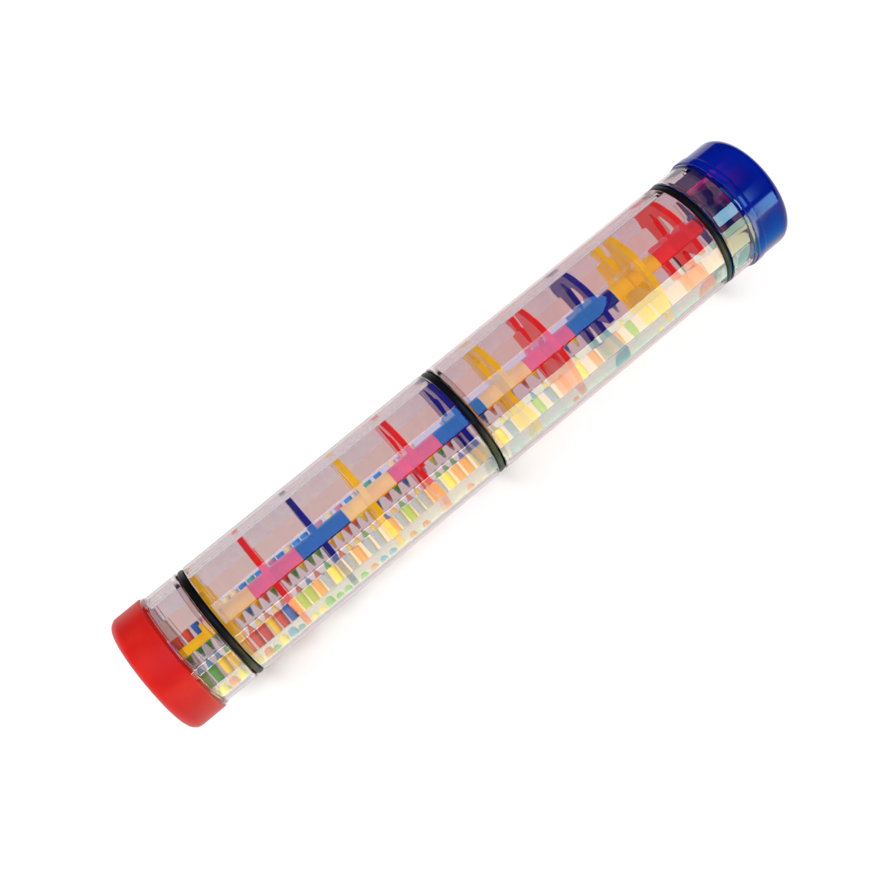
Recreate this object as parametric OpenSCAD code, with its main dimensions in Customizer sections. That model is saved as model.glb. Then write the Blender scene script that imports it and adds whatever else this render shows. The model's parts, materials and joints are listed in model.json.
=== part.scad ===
// Rain stick: a clear tube that holds a row of pierced baffles and a loose charge of beads.
// The stick lies on its caps along X, red end at -X and blue end at +X, with the floor at Z = 0.

/* [Clear tube] */
// Outside diameter of the clear tube
tube_od = 65; // [60:0.5:75]
// Wall of the clear tube at the middle of a flat side of its bore
tube_wall = 3.3; // [3:0.1:4]
// Number of flat sides of the bore
bore_sides = 18; // [14:2:24]
// Turn of the bore's first corner from straight across
bore_turn = 8; // [0:0.5:20]
// Distance from the middle ring to an end ring
ring_gap = 157; // [140:1:180]
// Distance from the red end's ring to the lip of the red cap
red_cup_len = 23.5; // [19:0.5:30]
// Distance from the blue end's ring to the lip of the blue cap
blue_cup_len = 19; // [17:0.5:28]
// Rounding of the rims beside the rings
rim_round = 0.9; // [0.3:0.1:1.2]
// Wall of the thin tongues that join the clear pieces under the rings
tongue_wall = 1; // [0.8:0.05:1.2]
// Depth that a tongue reaches into the next piece
tongue_grip = 2.8; // [2:0.1:4]

/* [End cups] */
// Thickness of the wall that closes an end cup
end_wall = 2; // [1.5:0.1:3]
// Distance of that wall's inner face from the lip of the cap
wall_set = 1; // [0.5:0.1:1.5]
// Height of the stop flange over the tube
flange_step = 0.6; // [0.3:0.1:0.9]
// Width of the stop flange
flange_w = 2.2; // [1.5:0.1:3]
// Step from the tube down to the neck that carries the cap
neck_step = 1.3; // [1:0.1:1.6]
// Length of the neck
neck_len = 15; // [10:0.5:16]
// Wall of the neck
neck_wall = 2.6; // [2:0.1:3]
// Depth of the red end's socket boss and reach of the blue end's pin
pin_len = 6; // [4:0.5:9]
// Length of the boss that backs the row of baffles at the blue end
boss_len = 9.7; // [6:0.1:14]

/* [Rubber rings] */
// Width of a ring
ring_w = 4.2; // [3.5:0.1:5]
// Distance of a ring's crown below the tube's surface
ring_set = 0.3; // [0.1:0.05:0.6]
// Rounding of a ring's edges
ring_round = 0.8; // [0.3:0.05:0.85]

/* [Caps] */
// Length of the red cap
red_cap_len = 19.5; // [19:0.5:26]
// Length of the blue cap
blue_cap_len = 24; // [20:0.5:28]
// Height of a cap over the tube
cap_step = 1.3; // [1:0.1:2.5]
// Thickness of a cap's end
cap_end = 2.6; // [2:0.1:3.5]
// Rounding of a cap's outer edge
cap_round = 5.5; // [3:0.5:7]
// Rounding of a cap's lip
lip_round = 0.6; // [0.2:0.1:0.9]
// Width of the lip band on the blue cap
lip_w = 5; // [3:0.5:7]
// Height of that lip band
lip_step = 0.6; // [0.3:0.1:0.8]

/* [Baffles] */
// Thickness of a baffle's disc
disc_t = 3.2; // [2:0.1:4]
// Distance from the red end of a hub to the middle of its disc
disc_place = 12.6; // [6:0.1:24]
// Gap between a disc and the flats of the bore
disc_gap = 0.8; // [0.5:0.1:2]
// Diameter of a baffle's hub
hub_d = 8; // [7:0.2:10]
// Diameter of the spigot that plugs into the next hub
spigot_d = 4; // [3:0.2:5]
// Length of that spigot
spigot_len = 17; // [15:0.5:19]
// Bare spigot that shows at the red end
lead_in = 12.9; // [11:0.1:14]
// End play of the stack of baffles
end_play = 0.8; // [0.5:0.1:0.9]
// Width of a notch at the rim of a disc
notch_w = 20; // [12:0.5:24]
// Width of a notch at its round inner end
notch_root_w = 10.5; // [4:0.5:12]
// Web between the hub and a notch
notch_web = 6.5; // [5:0.1:8]
// Angle between the two sides of a window
window_angle = 52; // [40:1:70]
// Web between the hub and a window
window_web = 3.2; // [2.5:0.1:5]
// Band of disc outside a window
window_band = 5.4; // [4:0.1:8]
// Rounding of a window's corners
window_round = 1.6; // [0.8:0.1:2]

/* [Beads] */
// Diameter of a bead
bead_d = 5; // [4:0.1:6]
// Least gap from a bead to the bore, to a disc and to the next bead
bead_gap = 0.3; // [0.25:0.05:0.6]
// Rows of beads to each side of the pile's middle
bead_rows = 5; // [2:1:5]
// Half width of the pile in rows at the red end
pile_red = 5; // [2:0.1:6]
// Half width of the pile in rows at the blue end
pile_blue = 2; // [0.5:0.1:3]
// Power of the fall of that width along the tube
pile_power = 1.5; // [1:0.1:4]
// Power of the fall from full rows at the red end to empty rows at the blue end
fill_power = 2.2; // [1:0.1:4]

/* [Clearances] */
// Gap of a plugged or pressed seat, each side
seat_gap = 0.1; // [0.05:0.01:0.15]

/* [Hidden] */
// Turn of each baffle's notches from the upright, from the red end
baffle_turns = [-22, -88, 74, 72, 61, 58, 56, -59, 69, -58, 75];
baffle_hues = ["yellow", "red", "blue"];
hue_codes = ["#f4c01a", "#dd2426", "#1c2a9e"];
bead_hues = ["red", "blue", "green", "yellow"];
bead_codes = ["#d8382c", "#2a5fb8", "#3f9a35", "#efc53a"];
clear_code = [0.9, 0.89, 0.92, 0.3];
arc_steps = 6;
bead_seed = 17;
cut = 1;
$fn = 96;

baffle_count = len(baffle_turns);
baffle_names = [for (k = [0:baffle_count - 1])
    str("baffle_", k + 1, "_", baffle_hues[k % len(baffle_hues)])];
bead_names = [for (hue = bead_hues) str("beads_", hue)];

tube_r = tube_od / 2;
bore_r = tube_r - tube_wall;
cap_r = tube_r + cap_step;
neck_r = tube_r - neck_step;
tongue_r = bore_r + tongue_wall;
groove_half = ring_w / 2 + seat_gap;
tongue_reach = groove_half + tongue_grip;
red_lip_z = -ring_gap - red_cup_len;
blue_lip_z = ring_gap + blue_cup_len;
red_wall_z = red_lip_z + wall_set;
blue_wall_z = blue_lip_z - wall_set;

disc_r = bore_r - disc_gap;
hub_r = hub_d / 2;
first_hub_z = red_wall_z + lead_in;
last_hub_z = blue_wall_z - boss_len - end_play;
hub_len = (last_hub_z - first_hub_z) / baffle_count;
notch_root = hub_r + notch_web;
window_foot = hub_r + window_web;
window_tip = disc_r - window_band;

// Beads lie on the bore's inscribed circle, in chambers between the discs
bead_step = bead_d + bead_gap;
bead_path_r = bore_r - bead_gap - bead_d / 2;
bead_row_turn = 2 * asin(bead_step / 2 / bead_path_r);

function hub_z(k) = first_hub_z + hub_len * k;
function disc_z(k) = hub_z(k) + disc_place;
function chamber_start(k) = k == 0 ? red_wall_z : disc_z(k - 1) + disc_t / 2;
function chamber_end(k) = k == baffle_count ? blue_wall_z : disc_z(k) - disc_t / 2;
function chamber_room(k) = chamber_end(k) - chamber_start(k) - bead_d - 2 * bead_gap;
function columns(k) = 1 + floor(chamber_room(k) / bead_step);

// Rows lie half a place to either side of the pile's middle
function row_place(i) = i + 0.5;

// Share of a row's places that is filled, which falls along the tube and at the edge of the pile
function pile_half(k) = pile_blue + (pile_red - pile_blue) * pow(1 - k / baffle_count, pile_power);
function edge_share(k, place) = max(0, min(1, pile_half(k) + 0.5 - abs(place)));
function row_share(k, i) = edge_share(k, row_place(i)) * (1 - pow(k / baffle_count, fill_power));
function row_seed(k, i) = bead_seed + 100 * k + 3 * i;
function row_count(k, i) = floor(columns(k) * row_share(k, i) + rands(0, 1, 1, row_seed(k, i))[0]);

// Share of the spare room of a row that lies before bead j
function room_before(gaps, j) = gaps * [for (m = [0:len(gaps) - 1]) m <= j ? 1 : 0];
function room_share(gaps, j) = room_before(gaps, j) / room_before(gaps, len(gaps));

// Each bead is [place along the tube, turn from the pile's middle, colour number]
beads = [for (k = [0:baffle_count], i = [-bead_rows:bead_rows - 1])
    let (n = row_count(k, i),
         gaps = rands(0.05, 1, n + 1, row_seed(k, i) + 1),
         hues = rands(0, len(bead_hues), n + 1, row_seed(k, i) + 2),
         first = chamber_start(k) + bead_gap + bead_d / 2,
         spare = chamber_room(k) - (n - 1) * bead_step)
    if (n > 0)
        for (j = [0:n - 1])
            [first + j * bead_step + spare * room_share(gaps, j),
             row_place(i) * bead_row_turn, floor(hues[j])]];

// The pile comes to rest with its centre of mass straight below the axis
bead_ones = [for (bead = beads) 1];
pile_turn = -atan2([for (bead = beads) sin(bead[1])] * bead_ones,
    [for (bead = beads) cos(bead[1])] * bead_ones);

function arc(centre, r, from, to) = [for (i = [0:arc_steps])
    let (a = from + (to - from) * i / arc_steps)
    [centre[0] + r * cos(a), centre[1] + r * sin(a)]];

// Lays a shape that runs along Z onto the stick's axis
module along_stick(z = 0) {
    translate([z, 0, cap_r])
        rotate([0, 90, 0])
            children();
}

module round_bar(r, z) {
    translate([0, 0, z[0]])
        cylinder(r = r, h = z[1] - z[0]);
}

// Half section of a round bar whose two ends have their own edge roundings
module bar_section(r, z, rounds) {
    widest = max(rounds);
    translate([0, z[0]])
        square([r - widest, z[1] - z[0]]);
    translate([0, z[0] + rounds[0]])
        square([r, z[1] - z[0] - rounds[0] - rounds[1]]);
    rounded_edge(r, z[0], rounds[0], widest);
    mirror([0, 1])
        rounded_edge(r, -z[1], rounds[1], widest);
}

// Rounds the edge at the lower end of a bar section and fills behind the arc
module rounded_edge(r, z, round, widest) {
    translate([r - round, z + round])
        circle(round);
    translate([0, z])
        square([r - round, widest]);
}

module turned_bar(r, z, rounds) {
    rotate_extrude()
        intersection() {
            bar_section(r, z, rounds);
            translate([0, z[0]])
                square([r, z[1] - z[0]]);
        }
}

module bore(z) {
    corner_r = bore_r / cos(180 / bore_sides);
    corners = [for (i = [0:bore_sides - 1])
        let (a = 90 + bore_turn + 360 * i / bore_sides)
        [corner_r * cos(a), corner_r * sin(a)]];
    translate([0, 0, z[0]])
        linear_extrude(z[1] - z[0])
            polygon(corners);
}

// Seat of a tongue, from the rim at z in the given direction
module tongue_seat(z, direction) {
    depth = tongue_grip + seat_gap;
    round_bar(tongue_r + seat_gap, direction > 0 ? [z - cut, z + depth] : [z - depth, z + cut]);
}

module red_tube() {
    color(clear_code)
        along_stick()
            difference() {
                union() {
                    turned_bar(tube_r, [-ring_gap + groove_half, -groove_half],
                        [rim_round, rim_round]);
                    round_bar(tongue_r, [-ring_gap - tongue_reach, tongue_reach]);
                }
                bore([-ring_gap - tongue_reach - cut, tongue_reach + cut]);
            }
}

module blue_tube() {
    color(clear_code)
        along_stick()
            difference() {
                union() {
                    turned_bar(tube_r, [groove_half, ring_gap - groove_half],
                        [rim_round, rim_round]);
                    round_bar(tongue_r, [ring_gap / 2, ring_gap + tongue_reach]);
                }
                bore([groove_half - cut, ring_gap + tongue_reach + cut]);
                tongue_seat(groove_half, 1);
            }
}

// Clear cup that closes an end of the tube, drawn outwards from its ring
module cup_body(cup_len) {
    difference() {
        union() {
            turned_bar(tube_r, [groove_half, cup_len], [rim_round, 0]);
            turned_bar(tube_r + flange_step, [cup_len - flange_w, cup_len], [flange_step, 0]);
            round_bar(neck_r, [cup_len - wall_set, cup_len + neck_len]);
        }
        bore([groove_half - cut, cup_len - wall_set]);
        tongue_seat(groove_half, 1);
        round_bar(neck_r - neck_wall, [cup_len - wall_set + end_wall, cup_len + neck_len + cut]);
    }
}

module red_end_cup() {
    wall = red_cup_len - wall_set;
    color(clear_code)
        along_stick(-ring_gap)
            mirror([0, 0, 1])
                difference() {
                    union() {
                        cup_body(red_cup_len);
                        round_bar(hub_r, [wall, wall + pin_len]);
                    }
                    round_bar(spigot_d / 2 + seat_gap, [wall - cut, wall + pin_len + cut]);
                }
}

module blue_end_cup() {
    wall = blue_cup_len - wall_set;
    color(clear_code)
        along_stick(ring_gap) {
            cup_body(blue_cup_len);
            round_bar(hub_r, [wall - boss_len, wall + end_wall]);
            round_bar(spigot_d / 2, [wall - boss_len - end_play - pin_len, wall]);
        }
}

module cap_hollow(cap_len) {
    round_bar(neck_r + seat_gap, [-cut, cap_len - cap_end]);
}

module red_cap() {
    color("#d8231f")
        along_stick(red_lip_z)
            mirror([0, 0, 1])
                difference() {
                    turned_bar(cap_r, [0, red_cap_len], [lip_round, cap_round]);
                    cap_hollow(red_cap_len);
                }
}

module blue_cap() {
    color("#0d1fa6")
        along_stick(blue_lip_z)
            difference() {
                union() {
                    turned_bar(cap_r - lip_step, [0, blue_cap_len], [0, cap_round]);
                    turned_bar(cap_r, [0, lip_w], [lip_round, lip_step]);
                }
                cap_hollow(blue_cap_len);
            }
}

// Rubber ring that lies in the groove between two clear pieces
module rubber_ring(z) {
    ring_in = tongue_r + seat_gap;
    ring_out = tube_r - ring_set;
    color("#161516")
        along_stick(z)
            difference() {
                turned_bar(ring_out, [-ring_w / 2, ring_w / 2], [ring_round, ring_round]);
                round_bar(ring_in, [-ring_w, ring_w]);
            }
}

// V-shaped notch that opens at the rim and ends in a round root
module notch() {
    root_r = notch_root_w / 2;
    reach = disc_r + cut;
    slope = (notch_w / 2 - root_r) / (disc_r - notch_root - root_r);
    mouth = root_r + slope * (reach - notch_root - root_r);
    points = concat([[mouth, reach]], [[-mouth, reach]],
        arc([0, notch_root + root_r], root_r, 180, 360));
    polygon(points);
}

// Window with two sides that run out from the axis, two arcs and rounded corners
module window() {
    half = window_angle / 2;
    r = window_round;
    outer = window_tip - r;
    inner = window_foot + r;
    outer_lean = half - asin(r / outer);
    inner_lean = half - asin(r / inner);
    polygon(concat(
        arc([outer * sin(outer_lean), outer * cos(outer_lean)], r, -half, 90 - outer_lean),
        arc([0, 0], window_tip, 90 - outer_lean, 90 + outer_lean),
        arc([-outer * sin(outer_lean), outer * cos(outer_lean)], r, 90 + outer_lean, 180 + half),
        arc([-inner * sin(inner_lean), inner * cos(inner_lean)], r, 180 + half, 270 + inner_lean),
        arc([0, 0], window_foot, 90 + inner_lean, 90 - inner_lean),
        arc([inner * sin(inner_lean), inner * cos(inner_lean)], r, 270 - inner_lean, 360 - half)));
}

module baffle(k) {
    z = disc_z(k);
    hub = [hub_z(k), hub_z(k + 1)];
    // Local X points down and local Y across, so an upright notch is turned by a right angle
    color(hue_codes[k % len(hue_codes)])
        along_stick()
            difference() {
                union() {
                    translate([0, 0, z - disc_t / 2])
                        linear_extrude(disc_t)
                            rotate(90 + baffle_turns[k])
                                difference() {
                                    circle(disc_r);
                                    for (a = [0, 180])
                                        rotate(a) {
                                            notch();
                                            rotate(90)
                                                window();
                                        }
                                }
                    round_bar(hub_r, hub);
                    round_bar(spigot_d / 2, [hub[0] - spigot_len, z]);
                }
                round_bar(spigot_d / 2 + seat_gap, [hub[1] - spigot_len - seat_gap, hub[1] + cut]);
            }
}

module bead_group(hue) {
    color(bead_codes[hue])
        along_stick()
            for (bead = beads)
                if (bead[2] == hue)
                    rotate(pile_turn + bead[1])
                        translate([bead_path_r, 0, bead[0]])
                            sphere(d = bead_d, $fn = 24);
}

red_cap();
blue_cap();
red_end_cup();
blue_end_cup();
red_tube();
blue_tube();
rubber_ring(-ring_gap);  // red_end_ring
rubber_ring(0);  // middle_ring
rubber_ring(ring_gap);  // blue_end_ring
for (k = [0:baffle_count - 1])
    baffle(k);
for (hue = [0:len(bead_hues) - 1])
    bead_group(hue);
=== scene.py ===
import json
import math

import bmesh
import bpy
import numpy as np
from mathutils import Matrix, Vector
from mathutils.kdtree import KDTree


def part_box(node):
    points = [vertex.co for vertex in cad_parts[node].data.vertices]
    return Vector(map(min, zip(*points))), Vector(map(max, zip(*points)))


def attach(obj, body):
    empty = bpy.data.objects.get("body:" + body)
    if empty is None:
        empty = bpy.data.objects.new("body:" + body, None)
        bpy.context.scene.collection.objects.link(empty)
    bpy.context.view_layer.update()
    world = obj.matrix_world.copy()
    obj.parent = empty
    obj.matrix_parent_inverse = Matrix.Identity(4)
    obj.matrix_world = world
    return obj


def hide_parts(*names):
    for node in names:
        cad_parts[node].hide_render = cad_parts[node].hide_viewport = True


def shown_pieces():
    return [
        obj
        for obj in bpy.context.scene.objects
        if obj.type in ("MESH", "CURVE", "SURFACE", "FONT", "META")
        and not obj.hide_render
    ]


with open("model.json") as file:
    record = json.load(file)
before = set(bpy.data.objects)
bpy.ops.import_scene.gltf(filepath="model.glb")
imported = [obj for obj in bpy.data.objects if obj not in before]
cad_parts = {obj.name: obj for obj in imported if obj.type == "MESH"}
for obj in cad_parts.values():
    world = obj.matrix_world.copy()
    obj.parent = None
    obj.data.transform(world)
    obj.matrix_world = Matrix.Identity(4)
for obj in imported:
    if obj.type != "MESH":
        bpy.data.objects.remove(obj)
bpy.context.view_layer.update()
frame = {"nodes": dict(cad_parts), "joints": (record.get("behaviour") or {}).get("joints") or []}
print("frame loaded:", len(frame["nodes"]), "nodes")

scene = bpy.context.scene
mm = 0.001
axisHeight = frame["joints"][0]["pos_m"][2]  # the stick's axis runs along X at this height


# Reading sizes from the frame

def cadPoints(node):
    mesh = frame["nodes"][node].data
    flat = np.empty(len(mesh.vertices) * 3, np.float32)
    mesh.vertices.foreach_get("co", flat)
    return flat.reshape(-1, 3).astype(float) - (0, 0, axisHeight)


def spanOf(node):
    low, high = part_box(node)
    return low.x, high.x


def reachOf(node):  # largest distance from the axis
    points = cadPoints(node)
    return np.hypot(points[:, 1], points[:, 2]).max()


# Shader maths

class Wire:
    # One socket of a material's node tree; operators between wires and numbers add Math nodes
    def __init__(self, tree, socket=None):
        self.tree = tree
        self.socket = socket

    def add(self, kind, settings=None, links=None, out=0):
        node = self.tree.nodes.new(kind)
        for name, value in (settings or {}).items():
            if name == "stops":
                self.setStops(node.color_ramp, value)
            else:
                setattr(node, name, value)
        for name, value in (links or {}).items():
            if isinstance(value, Wire):
                self.tree.links.new(value.socket, node.inputs[name])
            else:
                node.inputs[name].default_value = value
        return Wire(self.tree, node.outputs[out] if node.outputs else None)

    def setStops(self, ramp, stops):
        while len(ramp.elements) < len(stops):
            ramp.elements.new(0.5)
        for element, (place, colour) in zip(ramp.elements, stops):
            element.position = place
            element.color = colour

    def math(self, operation, *values):
        return self.add("ShaderNodeMath", {"operation": operation}, dict(enumerate(values)))

    def __add__(self, other):
        return self.math("ADD", self, other)

    def __sub__(self, other):
        return self.math("SUBTRACT", self, other)

    def __rsub__(self, other):
        return self.math("SUBTRACT", other, self)

    def __mul__(self, other):
        return self.math("MULTIPLY", self, other)

    def __truediv__(self, other):
        return self.math("DIVIDE", self, other)

    __radd__ = __add__
    __rmul__ = __mul__

    def between(self, low, high):  # 0 below low, 1 above high
        return self.add("ShaderNodeMapRange", {"interpolation_type": "SMOOTHSTEP"},
                        {"Value": self, "From Min": low, "From Max": high})

    def blend(self, first, second):  # colour mix, this wire is the share of the second
        return self.add("ShaderNodeMix", {"data_type": "RGBA"}, {0: self, 6: first, 7: second}, 2)

    def noise(self, coords, scale, detail=3.0, roughness=0.5):
        return self.add("ShaderNodeTexNoise", {}, {"Vector": coords, "Scale": scale, "Detail": detail,
                                                   "Roughness": roughness})

    def stretched(self, coords, scale):
        return self.add("ShaderNodeMapping", {"vector_type": "TEXTURE"}, {"Vector": coords, "Scale": scale})

    def bumped(self, height, strength, distance):
        return self.add("ShaderNodeBump", {}, {"Height": height, "Strength": strength, "Distance": distance})


def newMaterial(name):
    material = bpy.data.materials.new(name)
    material.use_nodes = True
    material.node_tree.nodes.clear()
    wire = Wire(material.node_tree)
    coords = wire.add("ShaderNodeTexCoord", out="Object")
    return material, wire, coords


def closeMaterial(wire, sockets, inside=None):
    surfaces = {"Surface": wire.add("ShaderNodeBsdfPrincipled", {}, sockets)}
    if inside:  # what the bulk of a clear plastic swallows
        surfaces["Volume"] = wire.add("ShaderNodeVolumeAbsorption", {}, inside)
    wire.add("ShaderNodeOutputMaterial", {}, surfaces)


def rgba(red, green, blue):
    return (red, green, blue, 1.0)


# Materials

clearFinish = {
    "tint": rgba(0.805, 0.725, 0.75),
    # the second colour is the plastic's tint with painted pink light from the red baffles
    "paintedPink": rgba(0.80, 0.655, 0.685),
    "ior": 1.50,
    "inside": {"Color": rgba(0.78, 0.77, 0.77), "Density": 42.0},
}


def clearPlastic():
    material, wire, coords = newMaterial("clearPlastic")
    streaks = wire.noise(wire.stretched(coords, (8, 1, 1)), 30, 2)  # long faint streaks that wobble the edge of the painted pink light
    along = wire.add("ShaderNodeSeparateXYZ", {}, {"Vector": coords}, "X")
    paintedPink = (along + 0.04 * streaks).between(-0.12, 0.16)  # painted pink light, as cast by the red baffles, stronger towards the blue end
    smudge = wire.noise(coords, 60, 4, 0.6).between(0.55, 0.75)
    wave = wire.noise(wire.stretched(coords, (6, 1, 1)), 24, 0)
    closeMaterial(wire, {
        "Base Color": paintedPink.blend(clearFinish["tint"], clearFinish["paintedPink"]),
        "Roughness": smudge * 0.004,
        "Normal": wire.bumped(wave, 0.006, 0.3 * mm),
        "IOR": clearFinish["ior"],
        "Transmission Weight": 1.0,
    }, clearFinish["inside"])
    return material


redCapFinish = {"colour": rgba(0.52, 0.007, 0.005), "worn": rgba(0.58, 0.016, 0.009), "roughness": 0.38}


def redCapPlastic():
    material, wire, coords = newMaterial("redCapPlastic")
    grain = wire.noise(coords, 2600, 2)
    patches = wire.noise(coords, 45, 3)
    closeMaterial(wire, {
        "Base Color": patches.between(0.4, 0.8).blend(redCapFinish["colour"], redCapFinish["worn"]),
        "Roughness": redCapFinish["roughness"] + 0.12 * patches,
        "Normal": wire.bumped(grain, 0.12, 0.05 * mm),
        "IOR": 1.5,
        "Specular IOR Level": 0.28,
    })
    return material


blueCapFinish = {"colour": rgba(0.001, 0.010, 0.25), "deep": rgba(0.001, 0.006, 0.17), "roughness": 0.08}


def blueCapPlastic():
    material, wire, coords = newMaterial("blueCapPlastic")
    patches = wire.noise(coords, 50, 3)
    closeMaterial(wire, {
        "Base Color": patches.between(0.35, 0.7).blend(blueCapFinish["colour"], blueCapFinish["deep"]),
        "Roughness": blueCapFinish["roughness"] + 0.08 * patches,
        "Normal": wire.bumped(wire.noise(coords, 120, 1), 0.04, 0.3 * mm),
        "IOR": 1.5,
        "Specular IOR Level": 0.25,
        "Coat Weight": 0.1,
        "Coat Roughness": 0.05,
    })
    return material


rubberFinish = {"colour": rgba(0.004, 0.0036, 0.004), "dusty": rgba(0.012, 0.011, 0.0115)}


def blackRubber():
    material, wire, coords = newMaterial("blackRubber")
    dust = wire.noise(coords, 300, 4, 0.65).between(0.5, 0.8)
    closeMaterial(wire, {
        "Base Color": dust.blend(rubberFinish["colour"], rubberFinish["dusty"]),
        "Roughness": 0.34 + 0.2 * dust,
        "Normal": wire.bumped(wire.noise(coords, 1800, 2), 0.15, 0.06 * mm),
        "IOR": 1.5,
        "Specular IOR Level": 0.1,
    })
    return material


baffleFinish = {
    "yellow": (rgba(0.96, 0.63, 0.008), rgba(0.92, 0.53, 0.005)),
    "red": (rgba(0.88, 0.012, 0.016), rgba(0.80, 0.010, 0.014)),
    "blue": (rgba(0.006, 0.008, 0.30), rgba(0.005, 0.005, 0.23)),
}


def bafflePlastic(hue):
    light, deep = baffleFinish[hue]
    material, wire, coords = newMaterial(hue + "BafflePlastic")
    streaks = wire.noise(coords, 140, 2)
    closeMaterial(wire, {
        "Base Color": streaks.between(0.35, 0.7).blend(light, deep),
        "Roughness": 0.06 + 0.08 * wire.noise(coords, 400, 3),
        "Normal": wire.bumped(wire.noise(coords, 90, 1), 0.06, 0.4 * mm),
        "IOR": 1.5,
        "Transmission Weight": 0.3,
    })
    return material


beadFinish = {
    "red": (rgba(0.66, 0.055, 0.030), rgba(0.75, 0.13, 0.07)),
    "blue": (rgba(0.018, 0.12, 0.46), rgba(0.03, 0.20, 0.60)),
    "green": (rgba(0.06, 0.32, 0.025), rgba(0.12, 0.45, 0.05)),
    "yellow": (rgba(0.92, 0.62, 0.015), rgba(0.95, 0.75, 0.05)),
}


def beadPlastic(hue):
    dark, light = beadFinish[hue]
    material, wire, coords = newMaterial(hue + "BeadPlastic")
    batch = wire.noise(coords, 110, 1)  # changes from bead to bead
    closeMaterial(wire, {
        "Base Color": batch.between(0.35, 0.65).blend(dark, light),
        "Roughness": 0.14 + 0.12 * batch,
        "IOR": 1.5,
        "Coat Weight": 0.3,
    })
    return material


def floorPaper():
    material, wire, coords = newMaterial("floorPaper")
    fibre = wire.noise(coords, 900, 4)
    closeMaterial(wire, {
        "Base Color": fibre.blend(rgba(0.90, 0.90, 0.90), rgba(0.86, 0.86, 0.86)),
        "Roughness": 0.85,
        "Specular IOR Level": 0.1,
    })
    return material


finishes = {
    "clear_plastic": clearPlastic(),
    "red_cap_plastic": redCapPlastic(),
    "blue_cap_plastic": blueCapPlastic(),
    "black_rubber": blackRubber(),
}
for hue in baffleFinish:
    finishes[hue + "_baffle_plastic"] = bafflePlastic(hue)
for hue in beadFinish:
    finishes[hue + "_bead_plastic"] = beadPlastic(hue)
print("materials made:", len(finishes))


# Turned pieces

def arc(centre, radius, start, stop, steps=10):
    # Points of a circle's arc: centre + radius * (cos, sin) of evenly spaced angles in degrees
    turn = np.radians(np.linspace(start, stop, steps + 1))
    return np.column_stack((centre[0] + radius * np.cos(turn), centre[1] + radius * np.sin(turn)))


def gridFaces(rows, columns, rowsClose):
    # Quads of a grid whose columns close on themselves, and whose rows close if asked
    i, j = np.meshgrid(np.arange(rows if rowsClose else rows - 1), np.arange(columns), indexing="ij")
    below, beside = (i + 1) % rows, (j + 1) % columns
    return np.stack((i * columns + j, i * columns + beside, below * columns + beside,
                     below * columns + j), -1).reshape(-1, 4)


def meshObject(name, points, faces, sharpAngle=30):
    mesh = bpy.data.meshes.new(name)
    mesh.from_pydata(points.reshape(-1, 3).tolist(), [], faces.tolist())
    work = bmesh.new()
    work.from_mesh(mesh)
    bmesh.ops.remove_doubles(work, verts=work.verts, dist=1e-7)
    bmesh.ops.dissolve_degenerate(work, edges=work.edges, dist=1e-7)
    bmesh.ops.recalc_face_normals(work, faces=work.faces)
    work.to_mesh(mesh)
    work.free()
    mesh.shade_smooth()
    mesh.set_sharp_from_angle(angle=math.radians(sharpAngle))
    piece = bpy.data.objects.new(name, mesh)
    scene.collection.objects.link(piece)
    return piece


def turned(name, profile, angles, onBore=None, rowsClose=True, sharpAngle=30):
    # Each profile point (place x, distance d) is carried round the axis:
    # y = d * cos(angle), z = axis height + d * sin(angle), and on the bore d is the bore's own reach
    profile = np.asarray(profile, float)
    distance = np.repeat(profile[:, 1:], len(angles), axis=1)
    if onBore is not None:
        distance[onBore] = boreReach(angles)
    place = np.repeat(profile[:, :1], len(angles), axis=1)
    points = np.stack((place, distance * np.cos(angles), axisHeight + distance * np.sin(angles)), -1)
    return meshObject(name, points, gridFaces(len(profile), len(angles), rowsClose), sharpAngle)


def dress(piece, body, slot, *replaced):
    piece.data.materials.clear()
    piece.data.materials.append(finishes[slot])
    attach(piece, body)
    if replaced:
        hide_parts(*replaced)
    return piece


# Bore of flat sides, read from the red tube's innermost corners

boreShape = {"sides": 18, "crispness": 900}
tubePoints = cadPoints("red_tube")
tubeDistance = np.hypot(tubePoints[:, 1], tubePoints[:, 2])
corner = tubePoints[tubeDistance.argmin()]
boreTurn = math.atan2(corner[2], corner[1])
sideTurn = 2 * math.pi / boreShape["sides"]
boreFlat = tubeDistance.min() * math.cos(sideTurn / 2)
print("bore: flats at %.2f mm, first corner at %.2f degrees" % (boreFlat / mm, math.degrees(boreTurn)))


def boreReach(angles):
    # Distance to a polygon with slightly rounded corners: the soft maximum over all sides of
    # cos(angle - side) / flat distance is one over the reach
    sides = boreTurn + sideTurn * (np.arange(boreShape["sides"]) + 0.5)
    lean = np.clip(np.cos(np.asarray(angles)[:, None] - sides), 0.3, None)
    power = boreShape["crispness"]
    most = lean.max(1, keepdims=True)
    return boreFlat / (most[:, 0] * ((lean / most) ** power).sum(1) ** (1 / power))


# Angles crowd together at the corners of the bore
cornerSteps = np.array([0, 0.25, 0.55, 0.9, 1.4, 2.4, 4, 6, 8,
                        10, 12, 14, 16, 17.6, 18.6, 19.1, 19.45, 19.75])
boreAngles = (boreTurn + (np.arange(boreShape["sides"])[:, None] * sideTurn
                          + np.radians(cornerSteps * 18 / boreShape["sides"]))).ravel()
plainAngles = np.linspace(0, 2 * math.pi, 180, endpoint=False)

tubeShape = {"rimRound": 0.9 * mm, "seatGap": 0.1 * mm, "rimRow": 0.5 * mm}
clearSharp = 14  # least angle in degrees of a sharp edge on a clear piece
tubeReach = reachOf("red_tube")
ringSpan = {side: spanOf(side) for side in ("red_end_ring", "middle_ring", "blue_end_ring")}
ringInner = np.hypot(*cadPoints("middle_ring")[:, 1:].T).min()
tongueReach = ringInner - tubeShape["seatGap"]


def grooveOf(ring):
    low, high = ringSpan[ring]
    return low - tubeShape["seatGap"], high + tubeShape["seatGap"]


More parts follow.
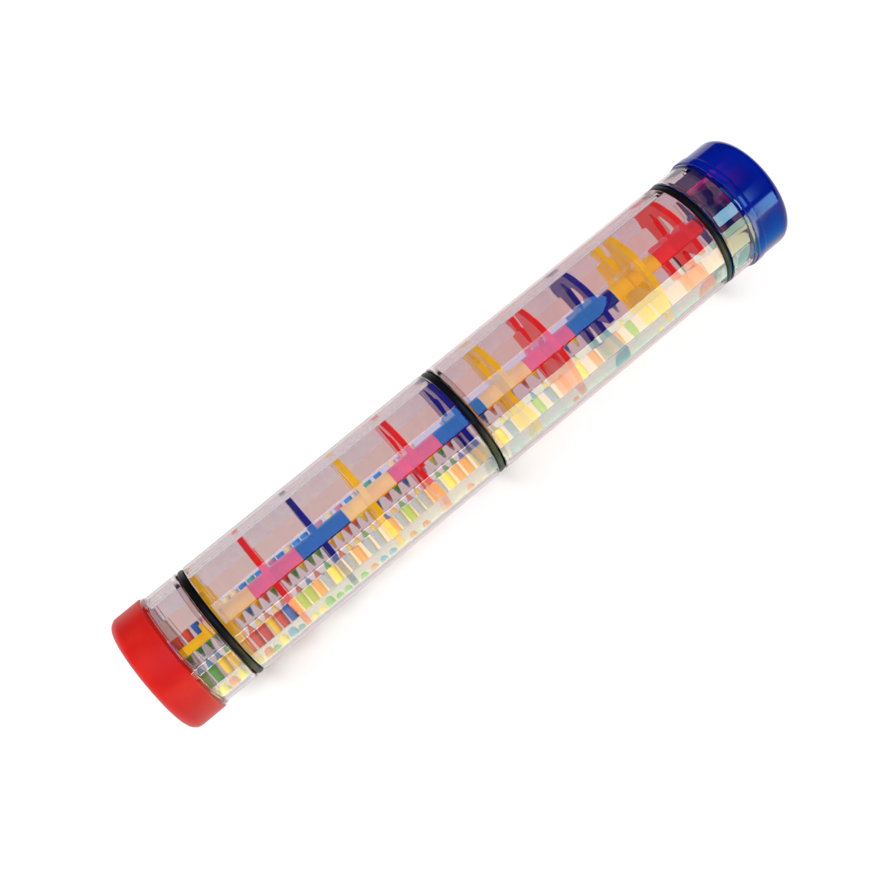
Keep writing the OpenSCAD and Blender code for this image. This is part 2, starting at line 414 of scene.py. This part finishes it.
def clearTube():
    # Closed section of each half: tongue, groove face, rounded rim, round outside, and back along the bore
    rim, row = tubeShape["rimRound"], tubeShape["rimRow"]  # the row keeps the long wall's shading straight
    redStart, redEnd = grooveOf("red_end_ring")[1], grooveOf("middle_ring")[0]
    blueStart, blueEnd = grooveOf("middle_ring")[1], grooveOf("blue_end_ring")[0]
    redTip, redTop = spanOf("red_tube")
    blueTip = spanOf("blue_tube")[1]
    seat = tongueReach + tubeShape["seatGap"]
    seatEnd = redTop + tubeShape["seatGap"]
    outside = tubeReach - rim
    red = np.vstack((
        [(redTip, 0), (redTip, tongueReach), (redStart, tongueReach)],
        arc((redStart + rim, outside), rim, 180, 90),
        [(redStart + rim + row, tubeReach), (redEnd - rim - row, tubeReach)],
        arc((redEnd - rim, outside), rim, 90, 0),
        [(redEnd, tongueReach), (redTop, tongueReach), (redTop, 0)]))
    redBore = np.zeros(len(red), bool)
    redBore[[0, -1]] = True
    blue = np.vstack((
        [(seatEnd, 0), (seatEnd, seat), (blueStart, seat)],
        arc((blueStart + rim, outside), rim, 180, 90),
        [(blueStart + rim + row, tubeReach), (blueEnd - rim - row, tubeReach)],
        arc((blueEnd - rim, outside), rim, 90, 0),
        [(blueEnd, tongueReach), (blueTip, tongueReach), (blueTip, 0)]))
    blueBore = np.zeros(len(blue), bool)
    blueBore[[0, -1]] = True
    redShell = turned("redTubeShell", red, boreAngles, redBore, sharpAngle=clearSharp)
    blueShell = turned("blueTubeShell", blue, boreAngles, blueBore, sharpAngle=clearSharp)
    dress(redShell, "stick", "clear_plastic", "red_tube")
    dress(blueShell, "stick", "clear_plastic", "blue_tube")


clearTube()

cupShape = {
    "wall": 2.0 * mm, "wallSet": 1.0 * mm, "flange": 0.6 * mm, "flangeWidth": 2.2 * mm,
    "neckStep": 1.3 * mm, "neckWall": 2.6 * mm, "boss": 4.0 * mm, "pin": 2.0 * mm,
    "socketDepth": 6.0 * mm, "seatDepth": 2.9 * mm, "hubGap": 0.8 * mm,
}


def clearCup(side):
    # Section drawn outwards from the ring, then laid along the stick to its own side
    sign = -1 if side == "red" else 1
    ring = side + "_end_ring"
    low, high = spanOf(side + "_end_cup")
    capLow, capHigh = spanOf(side + "_cap")
    rimFace = sign * (grooveOf(ring)[0] if side == "red" else grooveOf(ring)[1])
    lip = sign * (capHigh if side == "red" else capLow)
    neckEnd = sign * (low if side == "red" else high)
    wallIn = lip - cupShape["wallSet"]
    wallOut = wallIn + cupShape["wall"]
    rim, flange = tubeShape["rimRound"], cupShape["flange"]
    neck = tubeReach - cupShape["neckStep"]
    neckIn = neck - cupShape["neckWall"]
    seat = tongueReach + tubeShape["seatGap"]
    seatEnd = rimFace + cupShape["seatDepth"]
    step = lip - cupShape["flangeWidth"]
    shell = np.vstack((
        [(wallIn, 0), (seatEnd, 0), (seatEnd, seat), (rimFace, seat)],
        arc((rimFace + rim, tubeReach - rim), rim, 180, 90),
        [(rimFace + rim + tubeShape["rimRow"], tubeReach), (step, tubeReach)],
        arc((step + flange, tubeReach), flange, 180, 90),
        [(lip, tubeReach + flange), (lip, neck), (neckEnd, neck), (neckEnd, neckIn), (wallOut, neckIn)]))
    boss, pin, gap = cupShape["boss"], cupShape["pin"], tubeShape["seatGap"]
    if side == "red":
        bossEnd = wallIn + cupShape["socketDepth"]
        start = [(wallIn, pin + gap)]
        end = [(wallOut, boss), (bossEnd, boss), (bossEnd, pin + gap)]
    else:
        hubEnd = spanOf("baffle_11_red")[1]
        tip = low
        bossEnd = hubEnd + cupShape["hubGap"]
        start = [(tip, 0), (tip, pin), (bossEnd, pin), (bossEnd, boss), (wallIn, boss)]
        end = [(wallOut, 0)]
    section = np.vstack((start, shell, end))
    onBore = np.zeros(len(section), bool)
    onBore[[len(start), len(start) + 1]] = True
    section[:, 0] *= sign
    if side == "blue":
        section[:2, 0] = tip
        section[2:4, 0] = bossEnd
    piece = turned(side + "EndCupShell", section, boreAngles, onBore, side == "red", clearSharp)
    dress(piece, "stick", "clear_plastic", side + "_end_cup")


clearCup("red")
clearCup("blue")
print("clear pieces made")

ringShape = {"round": 1.8 * mm}


def rubberRing(name, node):
    # Section with rounded outer edges, closed on itself, carried round the axis
    low, high = ringSpan[node]
    outer, soft = reachOf(node), ringShape["round"]
    section = np.vstack((
        [(low, ringInner)],
        arc((low + soft, outer - soft), soft, 180, 90),
        arc((high - soft, outer - soft), soft, 90, 0),
        [(high, ringInner)]))
    dress(turned(name, section, plainAngles), "stick", "black_rubber", node)


rubberRing("redEndRing", "red_end_ring")
rubberRing("middleRing", "middle_ring")
rubberRing("blueEndRing", "blue_end_ring")

capShape = {"edgeRound": 5.5 * mm, "lipRound": 0.6 * mm, "end": 2.6 * mm, "hollow": 31.3 * mm,
            "lipWidth": 5.0 * mm, "lipStep": 0.6 * mm, "plugInset": 0.3 * mm}
plugReach = tubeReach - cupShape["neckStep"] - cupShape["neckWall"] - tubeShape["seatGap"]
plugSet = capShape["plugInset"] - cupShape["wallSet"]  # from the lip to the plug's face in the clear wall
bossSet = cupShape["socketDepth"] - cupShape["wallSet"] + tubeShape["seatGap"]


def redCap():
    # Section of skirt, end and the plug inside the neck, which is recessed for the clear wall's boss
    low, high = spanOf("red_cap")
    outer, edge, lip = reachOf("red_cap"), capShape["edgeRound"], capShape["lipRound"]
    bossReach = cupShape["boss"] + tubeShape["seatGap"]
    section = np.vstack((
        [(low, 0)],
        arc((low + edge, outer - edge), edge, 180, 90, 16),
        arc((high - lip, outer - lip), lip, 90, 0),
        [(high, capShape["hollow"]), (low + capShape["end"], capShape["hollow"])],
        [(low + capShape["end"], plugReach), (high - plugSet, plugReach), (high - plugSet, bossReach)],
        [(high - bossSet, bossReach), (high - bossSet, 0)]))
    cap = turned("redEndCap", section, plainAngles, rowsClose=False)
    dress(cap, "stick", "red_cap_plastic", "red_cap")


def blueCap():
    # Section of a stepped skirt, the end and the plug inside the neck
    low, high = spanOf("blue_cap")
    band, edge, lip = reachOf("blue_cap"), capShape["edgeRound"], capShape["lipRound"]
    step = capShape["lipStep"]
    outer = band - step
    bandEnd = low + capShape["lipWidth"]
    section = np.vstack((
        [(low, capShape["hollow"])],
        arc((low + lip, band - lip), lip, 180, 90),
        arc((bandEnd - step, outer), step, 90, 0),
        arc((high - edge, outer - edge), edge, 90, 0, 16),
        [(high, 0), (low + plugSet, 0), (low + plugSet, plugReach)],
        [(high - capShape["end"], plugReach), (high - capShape["end"], capShape["hollow"])]))
    section = np.roll(section, 4, axis=0)  # so that the section starts and ends on the axis
    cap = turned("blueEndCap", section, plainAngles, rowsClose=False)
    dress(cap, "stick", "blue_cap_plastic", "blue_cap")


redCap()
blueCap()
print("rings and caps made")

# Baffles keep their own solids
for name, node in frame["nodes"].items():
    if name.startswith("baffle_"):
        node.data.materials.clear()
        node.data.materials.append(finishes[name.split("_")[2] + "_baffle_plastic"])

# Beads

beadShape = {"radius": 2.5 * mm, "rows": 6, "columns": 10, "gather": 1.2 * mm, "leastFacets": 20}


def beadCentres(node):
    # A facet's middle, moved inwards along its normal by the radius, lands near its bead's centre;
    # the places that lie close together belong to one bead, and stray slivers are left out
    mesh = frame["nodes"][node].data
    count = len(mesh.polygons)
    middle, normal = np.empty(count * 3, np.float32), np.empty(count * 3, np.float32)
    mesh.polygons.foreach_get("center", middle)
    mesh.polygons.foreach_get("normal", normal)
    guess = (middle - beadShape["radius"] * normal).reshape(-1, 3).astype(float)
    tree = KDTree(count)
    for index, place in enumerate(guess):
        tree.insert(place, index)
    tree.balance()
    taken = np.zeros(count, bool)
    centres = []
    for index, place in enumerate(guess):
        if not taken[index]:
            close = np.array([found[1] for found in tree.find_range(place, beadShape["gather"])])
            close = close[~taken[close]]
            taken[close] = True
            if len(close) > beadShape["leastFacets"]:
                centres.append(np.median(guess[close], axis=0))
    return np.array(centres)


def beadPile(hue):
    # One ball is a grid of latitude and longitude; every centre gets a copy of the grid
    node = "beads_" + hue
    centres = beadCentres(node)
    rows, columns = beadShape["rows"], beadShape["columns"]
    latitude = np.linspace(-math.pi / 2, math.pi / 2, rows + 1)[:, None]
    longitude = np.linspace(0, 2 * math.pi, columns, endpoint=False)[None, :]
    ball = np.stack((np.cos(latitude) * np.cos(longitude), np.cos(latitude) * np.sin(longitude),
                     np.sin(latitude) + 0 * longitude), -1) * beadShape["radius"]
    points = centres[:, None, :] + ball.reshape(1, -1, 3)
    faces = gridFaces(rows + 1, columns, False)
    faces = faces[None] + (np.arange(len(centres)) * ball.size // 3)[:, None, None]
    pile = meshObject(hue + "Beads", points, faces.reshape(-1, 4), 180)
    dress(pile, "beads", hue + "_bead_plastic", node)
    print(hue, "beads:", len(centres))


for hue in beadFinish:
    beadPile(hue)

# Rays of light reach the inside without being bent, which keeps the inside bright and free of grain
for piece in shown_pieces():
    if piece.name.endswith(("Shell", "Cap")) or piece.name.startswith("baffle_"):
        piece.visible_shadow = False
    if piece.name.endswith(("Shell", "Cap")):
        piece.visible_diffuse = False


# Floor, lights and camera

floorShape = {"reach": 3.0, "drop": 0.2 * mm}
oneSheet = [(0, 1, 2, 3)]


def cornersOf(along, across):  # the four corners of a strip, in order round it
    (left, right), (near, far) = along, across
    return [(left, near), (right, near), (right, far), (left, far)]


def floor():
    span = (-floorShape["reach"], floorShape["reach"])
    mesh = bpy.data.meshes.new("floor")
    mesh.from_pydata([(x, y, -floorShape["drop"]) for x, y in cornersOf(span, span)], [], oneSheet)
    mesh.materials.append(floorPaper())
    piece = bpy.data.objects.new("floor", mesh)
    scene.collection.objects.link(piece)


floor()
stickMiddle = (0, 0, axisHeight)


def aroundStick(polar, distance):  # a place round the stick's axis, from the back over the top to the front
    turn = math.radians(polar)
    return (0, distance * math.cos(turn), axisHeight + distance * math.sin(turn))


def addLamp(name, light, place, target):
    lamp = bpy.data.objects.new(name, light)
    lamp.location = place
    lamp.rotation_euler = (Vector(target) - Vector(place)).to_track_quat("-Z", "Y").to_euler()
    lamp.visible_camera = False
    scene.collection.objects.link(lamp)
    return lamp


# The world and one broad key do the lighting, and cards round the stick are what its gloss mirrors
worldLight = {"colour": rgba(1.0, 0.99, 1.0), "strength": 0.30}
keyLight = {"direction": (-0.6, -0.25, 1.0), "strength": 3.5, "angle": 70}
world = bpy.data.worlds.new("softStudio")
world.use_nodes = True
world.node_tree.nodes["Background"].inputs["Color"].default_value = worldLight["colour"]
world.node_tree.nodes["Background"].inputs["Strength"].default_value = worldLight["strength"]
world.cycles_visibility.glossy = False
scene.world = world
light = bpy.data.lights.new("key", "SUN")
light.energy, light.angle = keyLight["strength"], math.radians(keyLight["angle"])
key = addLamp("key", light, keyLight["direction"], (0, 0, 0))
key.visible_glossy = key.visible_transmission = False  # its disc would veil the flats of the bore

# The camera is first placed over the stick, then swung about the stick's axis to the photograph's side
cameraPlace = {"position": (-107.2 * mm, -106.9 * mm, 664.8 * mm), "aim": (-14.7 * mm, 2.8 * mm, 33.8 * mm),
               "lens": 52.12, "swing": 22.4}
cameraReach = math.hypot(cameraPlace["position"][1], cameraPlace["position"][2] - axisHeight)

panelPlan = {  # each panel spans two angles round the axis and a stretch along it
    "skyEdge": {"span": (91, 92.5), "reach": (-0.26, 0.45), "radiance": 6.0, "colour": (1.0, 1.0, 1.0)},
    "sky": {"span": (93, 131), "reach": (-0.26, 0.45), "radiance": 6.2, "colour": (0.10, 0.48, 1.0)},
    "skyEnd": {"span": (93, 131), "reach": (0.46, 0.66), "radiance": 0.7, "colour": (0.20, 0.70, 1.0)},
    "wallEdge": {"span": (158, 159.5), "reach": (-1.2, 0.725), "radiance": 12.0, "colour": (1.0, 1.0, 1.0)},
    "wall": {"span": (160, 170.5), "reach": (-1.2, 0.2), "radiance": 3.0, "colour": (0.92, 1.0, 0.9)},
    "wallEnd": {"span": (160, 170.5), "reach": (0.2, 0.725), "radiance": 9.3, "colour": (0.6, 1.0, 0.6)},
    "wallFoot": {"span": (171, 172.5), "reach": (-1.2, 0.725), "radiance": 12.0, "colour": (1.0, 1.0, 1.0)},
    "rim": {"span": (173, 181), "reach": (-0.16, 0.2), "radiance": 10.5, "colour": (1.0, 0.81, 0.23)},
    "rimEnd": {"span": (173, 181), "reach": (0.2, 0.725), "radiance": 10.0, "colour": (1.0, 1.0, 0.5)},
    "cupBand": {"span": (54, 64), "reach": (0.665, 0.725), "radiance": 5.0, "colour": (1.0, 0.03, 0.2)},
    "cupGlow": {"span": (65, 113), "reach": (0.665, 0.725), "radiance": 1.2, "colour": (1.0, 0.05, 0.25)},
    "cupWindow": {"span": (124, 146), "reach": (0.665, 0.725), "radiance": 13.0, "colour": (0.35, 0.77, 1.0)},
    "capWindow": {"span": (156, 179), "reach": (0.74, 0.96), "radiance": 13.0, "colour": (0.30, 0.70, 1.0)},
}
floorPlan = {  # strips on the floor in front, given by the stretch of the stick that mirrors them
    "near": {"along": (-0.18, 0.01), "across": (0.043, 0.105), "radiance": 4.6, "colour": (0.8, 1.0, 0.56)},
    "nearEnd": {"along": (0.01, 0.178), "across": (0.043, 0.105), "radiance": 3.8, "colour": (0.4, 1.0, 0.7)},
    "far": {"along": (-0.125, 0.01), "across": (0.105, 2.8), "radiance": 10.5, "colour": (1.0, 0.81, 0.23)},
    "farEnd": {"along": (0.01, 0.178), "across": (0.105, 2.8), "radiance": 10.0, "colour": (1.0, 1.0, 0.5)},
    "capFoot": {"along": (0.18, 0.205), "across": (0.043, 0.3), "radiance": 2.2, "colour": (0.1, 0.55, 1.0)},
}
underPlan = {  # strips on the floor that show only through the clear plastic, like a light table
    "back": {"along": (-0.25, 0.25), "across": (0.036, 0.050), "radiance": 1.1, "colour": (1.0, 0.88, 0.78)},
    "under": {"along": (-0.17, 0.17), "across": (-0.03, 0.03), "radiance": 1.0, "colour": (1.0, 0.97, 0.95)},
}
wallPlan = {"distance": 2.9, "height": 6.0, "columns": 64, "radiance": 1.0, "colour": (1.0, 1.0, 1.0)}
panelDistance = 1.2
cardHeight = 0.5 * mm


def glowing(name, plan, points, faces, seenBy):
    # A glowing sheet that only one kind of ray can see, so it lights nothing else
    material, wire = newMaterial(name + "Glow")[:2]
    glow = wire.add("ShaderNodeEmission", {}, {"Color": rgba(*plan["colour"]), "Strength": plan["radiance"]})
    wire.add("ShaderNodeOutputMaterial", {}, {"Surface": glow})
    material.cycles.emission_sampling = "NONE"
    mesh = bpy.data.meshes.new(name)
    mesh.from_pydata(points, [], faces)
    mesh.materials.append(material)
    sheet = bpy.data.objects.new(name, mesh)
    scene.collection.objects.link(sheet)
    for ray in ("camera", "diffuse", "glossy", "transmission", "shadow"):
        setattr(sheet, "visible_" + ray, ray == seenBy)


def fanned(place, distance):  # where the mirrored line of sight at this place along the stick meets the floor
    return place + (place - cameraPlace["position"][0]) * (distance - tubeReach) / cameraReach


def panels():
    for name, plan in panelPlan.items():
        edges = {turn: aroundStick(turn, panelDistance)[1:] for turn in plan["span"]}
        corners = [(x, *edges[turn]) for x, turn in cornersOf(plan["reach"], plan["span"])]
        glowing(name + "Card", plan, corners, oneSheet, "glossy")


def floorCards():
    for name, plan in floorPlan.items():
        strip = cornersOf(plan["along"], plan["across"])
        corners = [(fanned(x, y), -y, cardHeight) for x, y in strip]
        glowing(name + "Card", plan, corners, oneSheet, "glossy")
    for name, plan in underPlan.items():
        corners = [(x, y, cardHeight) for x, y in cornersOf(plan["along"], plan["across"])]
        glowing(name + "Card", plan, corners, oneSheet, "transmission")


def backdrop():
    # A round wall: x and y are distance * cos and sin of the turn, in two rows
    turn = np.linspace(0, 2 * math.pi, wallPlan["columns"], endpoint=False)
    ring = np.column_stack((np.cos(turn), np.sin(turn), 0 * turn)) * wallPlan["distance"]
    points = np.vstack((ring, ring + (0, 0, wallPlan["height"])))
    faces = gridFaces(2, wallPlan["columns"], False)
    glowing("backdrop", wallPlan, points.tolist(), faces.tolist(), "camera")


panels()
floorCards()
backdrop()
print("cards placed:", len(panelPlan) + len(floorPlan) + len(underPlan))

camera = bpy.data.objects.new("camera", bpy.data.cameras.new("camera"))
camera.data.lens = cameraPlace["lens"]
camera.data.clip_start = 0.01
aim = Vector(cameraPlace["aim"]) - Vector(cameraPlace["position"])
level = Matrix.Translation(cameraPlace["position"]) @ aim.to_track_quat("-Z", "Y").to_matrix().to_4x4()
pivot = Matrix.Translation(stickMiddle)
swing = Matrix.Rotation(math.radians(cameraPlace["swing"]), 4, "X")
camera.matrix_world = pivot @ swing @ pivot.inverted() @ level
scene.collection.objects.link(camera)
scene.camera = camera

scene.view_settings.view_transform = "Standard"
scene.cycles.use_denoising = True
scene.cycles.max_bounces = 24
scene.cycles.transmission_bounces = 24
scene.cycles.caustics_refractive = False

print("scene ready")
